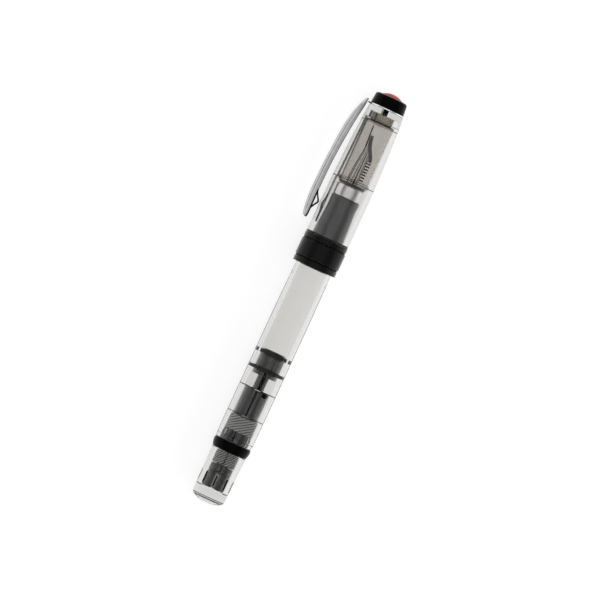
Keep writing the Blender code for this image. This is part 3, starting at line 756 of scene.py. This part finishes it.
def barrel():
    """Clear barrel: long facets outside, a smooth bore with a small step at the collar."""
    rear, front = stations("barrel")

    def outer(z):
        swell = 6.2 - 0.1 * max(0.0, 1 - (z - rear) / 4) ** 2
        return swell - 0.14 * max(0.0, (z - 55.0) / (FACET_END - 55.0)) ** 2

    def faceted(s, r, angle):
        if r < 5.9 or not FACET_REAR < s < FACET_END:
            return r
        along = (s - FACET_REAR) / (FACET_END - FACET_REAR)
        depth = FACET_DEPTH * math.sin(math.pi * along) ** 0.6
        off = angle % (TAU / FACETS) - math.pi / FACETS
        return min(r, (r - depth) / math.cos(off))

    wide = BORE + 0.1
    outline = [(rear, 6.02, 0.1), (FACET_REAR - 0.05, outer(FACET_REAR - 0.05), 0.02),
               (FACET_REAR, outer(FACET_REAR) - 0.035, 0)]
    outline += [(z, outer(z), 0) for z in spread(FACET_REAR + 0.05, FACET_END - 0.05, 90)]
    outline += [(FACET_END, 6.02, 0), (FACET_END + 0.12, NECK, 0), (81.9, NECK, 0.1),
                (82.1, THREAD_ROOT, 0.1)]
    outline += fine_run(THREAD_REAR, THREAD_FRONT, THREAD_ROOT, 0.125)
    outline += [(87.8, THREAD_ROOT, 0.1), (front, 5.6, 0.15), (front, 4.72),
                (COLLAR_FRONT + 1.2, BORE, 0), (COLLAR_FRONT + 0.16, BORE, 0),
                (COLLAR_FRONT, BORE + 0.24, 0), (COLLAR_FRONT - 0.14, wide, 0), (30.1, wide, 0),
                (29.95, BORE + 0.25, 0), (29.8, wide, 0), (22.5, wide, 0), (22.35, BORE + 0.3, 0),
                (22.2, wide, 0), (rear, wide)]
    cap_thread = thread(THREAD_ROOT, 5.97, 1.25, THREAD_REAR, THREAD_FRONT)

    def reach(s, r, angle):
        return cap_thread(s, r, angle) if s > 82 else faceted(s, r, angle)

    piece = turned("clear_barrel", outline, 0.08, 288, reach, 4, 40.0)
    dress(piece, CLEAR, "pen_body", "clear_plastic", "barrel")


# --- Grip and nib ---

def grip():
    """Waisted grip with its tenon, and the bright ring at its front."""
    rear, front = stations("section")
    waist = [(91.5, 5.22), (97.5, 4.9), (101.8, 4.65), (front - 0.5, 4.75)]
    outline = [(rear + 0.6, 3.6), (rear + 0.6, 4.2), (81.7, 4.2), (81.7, 4.45), (82.0, 4.66),
               (87.0, 4.66), (87.2, 4.4), (88.56, 4.4), (88.56, 5.55, 0.12), (90.2, 5.46, 0.3)]
    outline += [(s, smooth(waist, s), 0) for s in spread(91.6, front - 0.45, 40)]
    outline += [(front - 0.05, 4.72, 0.22), (front, 4.3, 0.05), (front, 3.3), (92.0, 3.3), (92.0, 3.6)]
    dress(turned("grip", outline, 0.1), GRIP, "pen_body", "grip_plastic", "section")
    low, high = stations("section_trim_ring")
    ring = [(low, 3.5), (low, 4.6, 0.05), (low + 0.25, 4.72, 0.1), (high - 0.25, 4.72, 0.2),
            (high, 4.45, 0.12), (high, 3.5)]
    dress(turned("grip_trim_ring", ring, 0.06), CHROME, "pen_body", "chrome", "section_trim_ring")


# The nib by station: height of its top, height of its lower edge and radius of its bow
NIB_TOP = [(98.0, 2.6), (108.0, 2.4), (112.3, 2.2), (118.0, 1.73), (122.0, 1.26), (124.3, 1.42),
           (127.4, 1.64), (130.1, 1.76)]
NIB_EDGE = [(98.0, -1.0), (112.3, -1.26), (119.6, -1.26), (120.6, -0.8), (121.4, -0.3), (122.1, 0.15),
            (123.3, 0.6), (124.6, 0.95), (126.8, 1.3), (130.1, 1.42)]
NIB_BOW = [(98.0, 2.6), (108.0, 2.42), (112.3, 2.28), (118.0, 1.9), (122.0, 1.4), (126.0, 0.95),
           (130.1, 0.4)]
NIB_THICK = 0.3
NIB_START = 98.0  # station where these curves begin
FIN_REAR, FIN_STEP, FINS = 112.3, 0.94, 7
FEED_BOTTOM = [(118.9, -2.6), (119.5, -2.5), (120.5, -2.2), (122.1, -1.4), (123.2, -0.8),
               (124.6, -0.3), (126.8, 0.2)]


def bow_arc(z, inset, low, count):
    """An arc about the nib's bow axis, from one side over the top to the other."""
    bow = smooth(NIB_BOW, z)
    middle = smooth(NIB_TOP, z) - bow
    out = bow - inset
    reach = math.acos(max(-0.96, min(0.98, (low - middle) / out)))
    angles = spread(-reach, reach, count - 1)
    return [(middle + out * math.cos(a), out * math.sin(a), z) for a in angles]


def nib():
    """Bowed nib with dark lines, one of them painted shade along its top bend, and a rounded tip."""
    rear, tip = stations("nib")
    rings = []
    for z in spread(rear, 108.0, 10)[:-1] + spread(108.0, tip - 0.25, 110):
        low = smooth(NIB_EDGE, z)
        rings.append(bow_arc(z, 0.0, low, 49) + bow_arc(z, NIB_THICK, low, 49)[::-1])
    dress(lofted("nib", rings, 40.0), STEEL, "pen_body", "nib_steel", "nib")
    start, stop = 109.45, 121.9
    line = []
    for z in spread(start, stop, 60):
        half = 0.22 - 0.14 * (z - start) / (stop - start)
        bow = smooth(NIB_BOW, z)
        middle = smooth(NIB_TOP, z) - bow
        ring = []
        for side, out in ((-half, 0.04), (half, 0.04), (half, -0.08), (-half, -0.08)):
            x = side - 0.1
            ring.append((x, math.sqrt((bow + out) ** 2 - (x - middle) ** 2), z))
        line.append(ring)
    dress(lofted("nib_engraved_line", line), BLACK_AND_PAINTED_SHADE, "pen_body", "nib_steel")
    # Dark strip along the nib's top edge: painted reflection of the shaded floor beside the pen.
    ridge = []
    for z in spread(111.9, 129.5, 60):
        top = smooth(NIB_TOP, z)
        high, low = top + 0.1, top - 0.25
        ridge.append([(high, 0.5, z), (high, -0.5, z), (low, -0.72, z), (low, 0.72, z)])
    dress(lofted("nib_top_edge_shade", ridge), PAINTED_SHADE_STEEL, "pen_body", "nib_steel")
    top = smooth(NIB_TOP, tip) - 0.17
    shape = bmesh.new()
    bmesh.ops.create_icosphere(shape, subdivisions=4, radius=0.24)
    bmesh.ops.scale(shape, vec=(0.9, 0.9, 1.25), verts=shape.verts)
    bmesh.ops.translate(shape, vec=(top, 0.0, tip - 0.3), verts=shape.verts)
    dress(mesh_piece("nib_point", shape), STEEL, "pen_body", "nib_steel")


def feed():
    """Feed with a comb of fins and a sloping nose."""
    rear, tip = stations("feed")
    housing = stations("nib_housing")[1]
    core, tail = -1.3, -2.2
    rows = [(rear, tail), (housing - 0.8, tail), (housing - 0.6, core)]
    rows += [(z, core) for z in spread(housing, 118.68, 20)] + [(118.7, -2.6)]
    rows += [(z, smooth(FEED_BOTTOM, z)) for z in spread(118.9, tip, 40)]
    under = [(math.cos(a), math.sin(a)) for a in spread(0, math.pi, 14)][1:-1]
    rings = []
    for z, bottom in rows:
        held = max(z, NIB_START)
        low = max(smooth(NIB_EDGE, held) - 0.02, bottom + 0.25)
        ring = [(x, y, z) for x, y, _ in bow_arc(held, NIB_THICK + 0.1, low, 25)]
        side = abs(ring[0][1])
        ring += [(low + (bottom - low) * depth**0.8, side * across, z) for across, depth in under]
        rings.append(ring)
    # The body takes a lighter copy and the fins a pitch-black copy of the feed's one plastic: painted
    # light and shade.
    dress(lofted("feed", rings, 30.0), FEED_LIT_GREY, "pen_body", "black_plastic", "feed")
    top, shoulder, drop = -1.1, -1.9, 0.78
    for k in range(FINS):
        foot = FIN_REAR + k * FIN_STEP
        fin = []
        for z, inset in ((foot, 0.06), (foot + 0.05, 0.0), (foot + 0.37, 0.0), (foot + 0.42, 0.06)):
            wide = 1.75 - inset
            ring = [(top, wide, z), (shoulder, wide, z)]
            ring += [(shoulder - (drop - inset) * depth, wide * across, z) for across, depth in under]
            ring += [(shoulder, -wide, z), (top, -wide, z)]
            fin.append(ring)
        dress(lofted("feed_fin_shaded_" + str(k), fin), BLACK_AND_PAINTED_SHADE, "pen_body", "black_plastic")


# --- Cap ---

TAPER_START = 106.3
CAP_WALL = 7.16  # radius of the cap below its taper
BAND_SEAT = 6.93  # radius of the cap's tube under the band
BAND_BORE = 7.0
GROOVE = 0.16  # half the width of the grooves between the band's rings


def cap_radius(s):
    along = max(0.0, (s - TAPER_START) / (CAP_TOP - TAPER_START))
    return CAP_WALL - 1.30 * along**1.65


def cap_tube():
    """Clear cap with a tapered wall and a thick top."""
    lip, seam = LIP + 0.06, BAND_TOP + 0.06
    outline = [(lip, 6.12), (lip, BAND_SEAT, 0.05), (seam, BAND_SEAT, 0.05), (seam, CAP_WALL, 0.06)]
    outline += [(s, cap_radius(s), 0) for s in spread(TAPER_START, CAP_TOP - 0.3, 40)]
    outline += [(CAP_TOP, 5.80, 0.2), (CAP_TOP, 1.05, 0.02), (134.1, 1.05, 0.02), (134.1, 3.8),
                (131.95, 3.8), (131.9, 4.78), (128.6, 4.78, 0), (111.05, 5.2), (110.85, 5.46),
                (110.0, 5.47), (91.8, 5.47, 0.3), (91.2, 6.0, 0.3), (88.2, 6.22, 0.05),
                (87.9, 6.12, 0.05)]
    dress(turned("clear_cap", outline, 0.1, 192), CLEAR, "cap", "clear_plastic", "cap_tube")


def band():
    """Black band in three rings, with fine grooves between them."""
    low, high = LIP + 0.1, BAND_TOP - 0.1
    # A pitch-black sleeve under the rings: painted shade in the grooves between them.
    sleeve = [(low, 6.96), (low, 7.03), (high, 7.03), (high, 6.96)]
    dress(turned("cap_band_groove_shade", sleeve, 0.03), BLACK_AND_PAINTED_SHADE, "cap", "black_gloss")
    for name, node in (("cap_band_lower", "band_lower_ring"), ("cap_band_middle", "cap_band"),
                       ("cap_band_upper", "band_upper_ring")):
        low, high = stations(node)
        out = radius(node)
        low += GROOVE * (name != "cap_band_lower")
        high -= GROOVE * (name != "cap_band_upper")
        outline = [(low, BAND_BORE), (low, out, 0.12), (high, out, 0.12), (high, BAND_BORE)]
        dress(turned(name, outline, 0.05, 192), BLACK, "cap", "black_gloss", node)


def liner():
    """Smoky inner cap: dark mouth ring, flange, thin body, dipped ceiling and hollow neck."""
    low, high = LINER_MOUTH, LINER_TOP
    mouth = low + 0.85
    wall, bead = 4.72, 4.85
    outline = [(130.15, 0.0), (131.0, 4.2, 0.05), (mouth, 4.2, 0), (mouth, 5.1, 0.05), (111.7, 5.1, 0.1),
               (111.75, wall, 0.1), (130.5, wall, 0.02), (130.62, bead, 0.03), (130.8, bead, 0.03),
               (130.92, wall, 0.02), (131.5, wall, 0.1), (131.55, 3.62, 0.1), (high, 3.62, 0.15),
               (high, 2.1, 0.1), (131.3, 2.05, 0.1), (130.8, 0.0)]
    dress(turned("cap_liner", outline, 0.08), SMOKE_CLEAR, "inner_cap", "smoke_clear", "inner_cap")
    rim = [(low, 4.22, 0.03), (low, 4.34, 0.05), (mouth - 0.05, 4.74, 0.05), (mouth - 0.01, 4.7, 0.02),
           (mouth - 0.01, 4.22, 0.03)]
    dress(turned("cap_liner_rim", rim, 0.05), SMOKE, "inner_cap", "smoke_clear")
    # A black strip on the liner's flange, facing the main view.
    black_strip("cap_liner_dark_strip", low + 0.86, 111.6, 5.12, -0.05, 0.2, "inner_cap")


# The clip by station: heights of its ridge and of its underside above the pen's axis
RIDGE = [(95.0, 9.75), (95.6, 10.35), (97.0, 10.75), (99.4, 11.12), (103.0, 11.35), (107.0, 11.38),
         (113.0, 11.25), (119.5, 10.93), (126.0, 10.43), (130.9, 9.64), (133.4, 8.95), (135.6, 8.18),
         (137.1, 7.4)]
UNDER = [(95.0, 9.1), (95.8, 8.85), (98.0, 8.8), (101.0, 8.85), (105.0, 8.9), (113.0, 8.82),
         (119.5, 8.46), (126.0, 7.9), (130.9, 7.33), (133.4, 6.95), (135.6, 6.66), (137.1, 6.55)]
CLIP_TIP, CLIP_ROOT = 95.0, 137.1
CLIP_SHARP = 22.0  # edges of the clip that turn by more degrees stay sharp


def clip_half(z):
    """Half the clip's width, which narrows toward its rounded tip."""
    half = 1.73 * (0.78 + 0.22 * min(1.0, (z - CLIP_TIP) / 14.0))
    return half * min(1.0, 0.5 + 0.5 * math.sqrt(max(0.0, (z - CLIP_TIP) / 1.6)))


def clip_shade_strip(name, start, stop, count, corners, made):
    """Strip of painted shade along the clip's underside; its corners are heights over it and shares of its
    width.
    """
    rings = []
    for z in spread(start, stop, count):
        low, half = smooth(UNDER, z), clip_half(z)
        rings.append(mirrored([(low + height, half * share, z) for height, share in corners]))
    dress(lofted(name, rings, CLIP_SHARP), made, "clip", "chrome")


def clip():
    """Ridged clip with rounded flanks, a lower edge in painted shade and a bent foot."""
    side = [(0.0, 0.84), (0.02, 0.87), (0.36, 0.98), (0.40, 1.0), (0.62, 1.0), (0.65, 0.985), (0.72, 0.86)]
    rings = []
    for z in spread(CLIP_TIP, 96.6, 12)[:-1] + spread(96.6, 106.0, 40)[:-1] + spread(106.0, CLIP_ROOT, 90):
        top, low, half = smooth(RIDGE, z), smooth(UNDER, z), clip_half(z)
        tall = top - low
        crown = min(0.35, 0.5 * half)
        ring = [(low + share * tall, wide * half, z) for share, wide in side]
        ring += [(top - 0.10, crown + 0.16, z), (top - 0.025, crown + 0.03, z), (top, crown - 0.1, z)]
        rings.append(mirrored(ring))
    dress(lofted("clip", rings, CLIP_SHARP), CLIP_STEEL, "clip", "chrome", "clip")
    # Dark strips along the creases of the clip's flanks: painted shade.
    lower, upper, proud, sunk = 0.65, 0.69, 0.008, 0.1
    for name, turn in (("clip_crease_shade_near", 1), ("clip_crease_shade_far", -1)):
        crease = []
        for z in spread(97.0, 135.0, 120):
            top, low, half = smooth(RIDGE, z), smooth(UNDER, z), clip_half(z)
            tall = top - low
            crease.append([(low + lower * tall, turn * (half + proud), z),
                           (low + upper * tall, turn * (half * 0.94 + proud), z),
                           (low + upper * tall, turn * (half * 0.94 - sunk), z),
                           (low + lower * tall, turn * (half - sunk), z)])
        dress(lofted(name, crease, CLIP_SHARP), PAINTED_SHADE_STEEL, "clip", "chrome")
    # The strips along the lower and under edges are painted shade.
    corners = ((-0.04, 0.88), (0.38, 1.01), (0.42, 0.96))
    clip_shade_strip("clip_lower_edge_shade", 95.1, 104.6, 30, corners, SHADED_STEEL)
    corners = ((-0.015, 0.85), (0.18, 0.93), (0.2, 0.88))
    clip_shade_strip("clip_under_edge_shade", 104.7, 135.8, 120, corners, UNDERSIDE_SHADE_STEEL)
    clip_foot()


def clip_foot():
    """The clip's end, folded down toward the cap, and the two walls that carry it."""
    path = [(104.3, 8.98), (103.2, 8.5), (102.2, 7.9), (101.5, 7.44), (101.0, 7.29), (100.5, 7.4),
            (99.6, 8.0), (98.6, 8.55), (97.6, 9.0)]
    inner = [(104.0, 9.2), (103.1, 8.95), (102.2, 8.5), (101.5, 8.06), (101.0, 7.88), (100.6, 7.98),
             (99.8, 8.5), (98.9, 9.0), (98.2, 9.2)]
    top, thick, half_fold = 9.1, 0.25, 1.28
    for name, half, inside in (("clip_foot_wall_near", 1.2, 1.2 - thick),
                               ("clip_foot_wall_far", -1.2, thick - 1.2)):
        wall = [[(x, half, z), (top, half, z), (top, inside, z), (x, inside, z)] for z, x in path]
        dress(lofted(name, wall, CLIP_SHARP), CHROME, "clip", "chrome")
    # The fold takes shaded steel: painted shade on the clip's foot.
    fold = [[(x0, half_fold, z0), (x0, -half_fold, z0), (x1, -half_fold, z1), (x1, half_fold, z1)]
            for (z0, x0), (z1, x1) in zip(path, inner)]
    dress(lofted("clip_foot", fold, 30.0), SHADED_STEEL, "clip", "chrome")


def washer_and_finial():
    """Clip washer with its lug, the screw, the black finial and its domed inlay."""
    low, high = stations("clip_washer")
    washer = [(low, 1.05), (low, 5.82), (high, 5.82), (high, 1.05)]
    dress(turned("clip_washer", washer, 0.1), CHROME, "cap", "chrome", "clip_washer")
    low, high = low + 0.01, high - 0.01
    # The lug takes dark steel: painted shade on its shadowed side.
    lug = [[(x, half, low), (x, half, high), (x, -half, high), (x, -half, low)]
           for x, half in ((5.4, 1.9), (5.9, 1.8), (6.2, 1.6), (6.4, 1.2))]
    dress(lofted("clip_lug", lug), PAINTED_SHADE_STEEL, "cap", "chrome")
    foot = LINER_TOP + 0.02
    screw = [(foot, 0.0), (foot, 0.86, 0.1), (CAP_TOP - 0.3, 0.9), (139.0, 0.9), (139.0, 0.0)]
    dress(turned("finial_screw", screw, 0.05, 96), BLACK_AND_PAINTED_SHADE, "cap", "black_steel", "finial_screw")
    low = stations("finial")[0]
    finial = [(low, 1.02), (low, 5.66), (139.75, 5.36, 0.2), (140.2, 5.1, 0.3), (140.42, 4.4, 0.3),
              (140.44, 3.52, 0.05), (139.75, 3.52, 0.02), (139.75, 1.02)]
    dress(turned("finial", finial, 0.1), DEEP_GLOSS, "cap", "black_gloss", "finial")
    rise, base = 1.02, 3.45
    ball = (base**2 + rise**2) / (2 * rise)
    widest = math.asin(base / ball)
    dome = [(LENGTH - ball + ball * math.cos(a), ball * math.sin(a), 0) for a in spread(widest, 0.0, 24)]
    inlay = [(139.82, 0.0), (139.82, base, 0.05)] + dome[:-1] + [(LENGTH, 0.0)]
    dress(turned("finial_inlay", inlay, 0.04), RED, "cap", "red_enamel", "finial_inlay")


clear_knob()
spindle()
end_ring()
guide_collar()
piston()
barrel()
grip()
nib()
feed()
cap_tube()
band()
liner()
clip()
washer_and_finial()

for node, made in (("knob_o_ring", RUBBER), ("section_o_ring", RUBBER), ("nib_housing", SMOKE)):
    frame["nodes"][node].data.materials.clear()
    frame["nodes"][node].data.materials.append(made)


# --- Studio ---

def studio_floor():
    """Pale light table, bright enough of itself to leave only faint shadows."""
    shape = bmesh.new()
    bmesh.ops.create_grid(shape, x_segments=2, y_segments=2, size=3.0)
    mesh = bpy.data.meshes.new("floor")
    shape.to_mesh(mesh)
    shape.free()
    floor = put("floor", mesh)
    floor.location = (0.0, 0.0, -0.2 * MM)
    made, shader = base_material("pale_floor", (0.35, 0.35, 0.35), 0.9)
    shader.inputs["Specular IOR Level"].default_value = 0.0
    shader.inputs["Emission Color"].default_value = (1.0, 1.0, 1.0, 1.0)
    shader.inputs["Emission Strength"].default_value = 0.82
    mesh.materials.append(made)


# Brightness round the pen's axis, by the angle in degrees from the side that the main view shows
SURROUND = [(0, 0.85), (20, 0.85), (34, 0.5), (44, 0.3), (58, 0.3), (70, 0.75), (84, 1.2), (110, 1.1),
            (124, 0.9), (180, 0.9)]


def studio_world():
    """Soft surround whose brightness changes with the angle about the pen's axis."""
    world = bpy.data.worlds.new("studio")
    bpy.context.scene.world = world
    world.use_nodes = True
    background = world.node_tree.nodes["Background"]
    place = add(world, "ShaderNodeTexCoord")

    def along(direction):
        dot = add(world, "ShaderNodeVectorMath", operation="DOT_PRODUCT")
        dot.inputs[1].default_value = direction
        wire(world, place.outputs["Generated"], dot.inputs[0])
        return dot.outputs["Value"]

    def size(value):
        node = add(world, "ShaderNodeMath", operation="ABSOLUTE")
        wire(world, value, node.inputs[0])
        return node.outputs["Value"]

    angle = add(world, "ShaderNodeMath", operation="ARCTAN2")
    wire(world, size(along(to_clip)), angle.inputs[0])
    wire(world, along(to_viewer), angle.inputs[1])
    share = add(world, "ShaderNodeMath", operation="MULTIPLY")
    share.inputs[1].default_value = 1.0 / math.pi
    wire(world, angle.outputs["Value"], share.inputs[0])
    ramp = add(world, "ShaderNodeValToRGB")
    ramp.color_ramp.interpolation = "EASE"
    while len(ramp.color_ramp.elements) < len(SURROUND):
        ramp.color_ramp.elements.new(0.5)
    for element, (degrees, level) in zip(ramp.color_ramp.elements, SURROUND):
        element.position = degrees / 180.0
        element.color = (level, level, level, 1.0)
    wire(world, share.outputs["Value"], ramp.inputs["Fac"])
    wire(world, ramp.outputs["Color"], background.inputs["Color"])
    wire(world, ranged(world, size(along(to_cap)), 1.0, 0.25, 0.55, 0.95), background.inputs["Strength"])


def camera():
    """Looks square at the pen's side, the cap up and to the right."""
    span = 1.3357078 * LENGTH  # width of the view in mm
    distance = 2000.0  # mm from the pen's middle
    shift_right, shift_down = 0.107101, 0.412656  # mm from the pen's middle to the picture's
    lean = math.radians(24.77)  # the pen's tilt from upright
    right = math.sin(lean) * to_cap - math.cos(lean) * to_clip
    up = math.cos(lean) * to_cap + math.sin(lean) * to_clip
    target = knob_end + to_cap * (LENGTH / 2 * MM)
    target += right * (shift_right * MM) - up * (shift_down * MM)
    data = bpy.data.cameras.new("camera")
    data.sensor_width = 36.0
    data.lens = data.sensor_width * distance / span
    data.clip_start = 0.01
    data.clip_end = 20.0
    view = Matrix((right, up, to_viewer)).transposed().to_4x4()
    view.translation = target + to_viewer * (distance * MM)
    made = put("camera", data)
    made.matrix_world = view
    bpy.context.scene.camera = made


studio_floor()
studio_world()
camera()
bpy.context.scene.view_settings.view_transform = "Standard"
